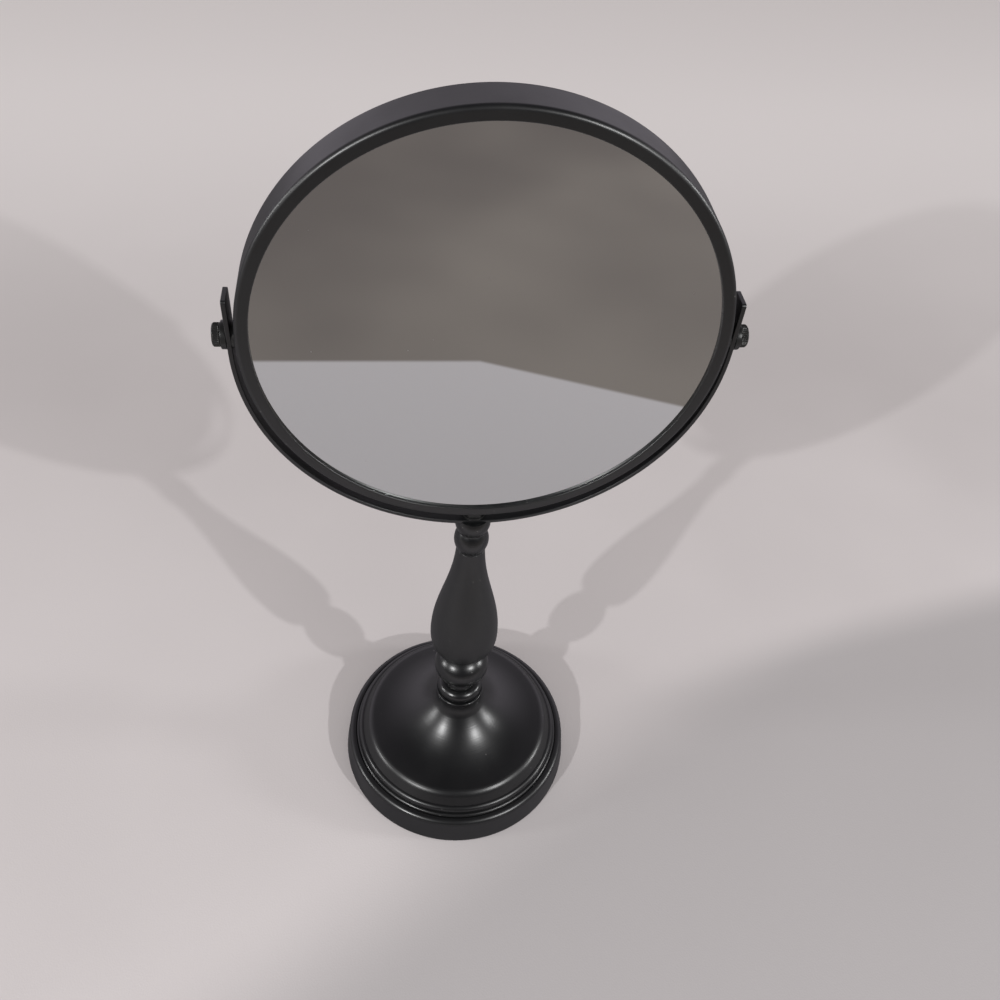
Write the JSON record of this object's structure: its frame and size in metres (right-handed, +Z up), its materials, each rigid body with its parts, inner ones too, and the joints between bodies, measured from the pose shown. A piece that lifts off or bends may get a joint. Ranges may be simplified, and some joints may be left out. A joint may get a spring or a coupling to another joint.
{
  "type": "vanity mirror",
  "caption": "Round two-sided tilting mirror in a drum-shaped ring, held by a U-shaped strap on a turned pedestal with a stepped round base.",
  "frame": {"origin": "centre of the base, on the table", "axes": "+Z up along the column, +X along the tilt axis towards the right-hand thumbscrew as seen from the front, -Y the way the flat glass faces"},
  "size_m": [0.2216, 0.14, 0.4299],
  "materials": {
    "base_black": "semi-gloss black paint",
    "bead_black": "semi-gloss black paint",
    "vase_black": "satin black paint",
    "neck_black": "satin black paint",
    "yoke_black": "satin black paint",
    "drum_black": "satin black paint",
    "black_hardware": "blackened",
    "knob_black": "blackened, worn at the edges",
    "zinc_rod": "zinc plated",
    "zinc_sheet": "zinc plated sheet",
    "iron": "raw casting",
    "felt": "pressed felt",
    "nylon": "black nylon",
    "front_mirror": "silvered flat glass",
    "back_mirror": "silvered hollow glass",
    "card": "grey board",
    "foam": "closed-cell foam"
  },
  "bodies": {
    "stand": {"base_shell": "base_black", "base_weight": "iron", "base_plate": "zinc_sheet", "base_pad": "felt", "foot_collar": "bead_black", "ball_collar": "bead_black", "column_vase": "vase_black", "neck_collar": "neck_black", "tie_rod": "zinc_rod", "bottom_washer": "zinc_rod", "bottom_nut": "zinc_rod", "top_washer": "black_hardware", "top_nut": "black_hardware", "yoke": "yoke_black", "left_bush": "nylon", "right_bush": "nylon", "left_collar": "black_hardware", "right_collar": "black_hardware"},
    "mirror_head": {"mirror_hoop": "drum_black", "back_bezel": "drum_black", "front_glass": "front_mirror", "back_glass": "back_mirror", "backing_card": "card", "spacer_ring": "foam", "left_pivot_nut": "zinc_rod", "right_pivot_nut": "zinc_rod"},
    "left_knob": {"left_thumbscrew": "knob_black"},
    "right_knob": {"right_thumbscrew": "knob_black"}
  },
  "joints": [
    {"name": "mirror_tilt", "type": "hinge", "parent": "stand", "child": "mirror_head", "pos_m": [0, 0, 0.3284], "axis": [1, 0, 0], "continuous": true},
    {"name": "left_knob_turn", "type": "hinge", "parent": "mirror_head", "child": "left_knob", "pos_m": [-0.1074, 0, 0.3284], "axis": [-1, 0, 0], "range_deg": [0, 360]},
    {"name": "right_knob_turn", "type": "hinge", "parent": "mirror_head", "child": "right_knob", "pos_m": [0.1074, 0, 0.3284], "axis": [1, 0, 0], "range_deg": [0, 360]}
  ]
}
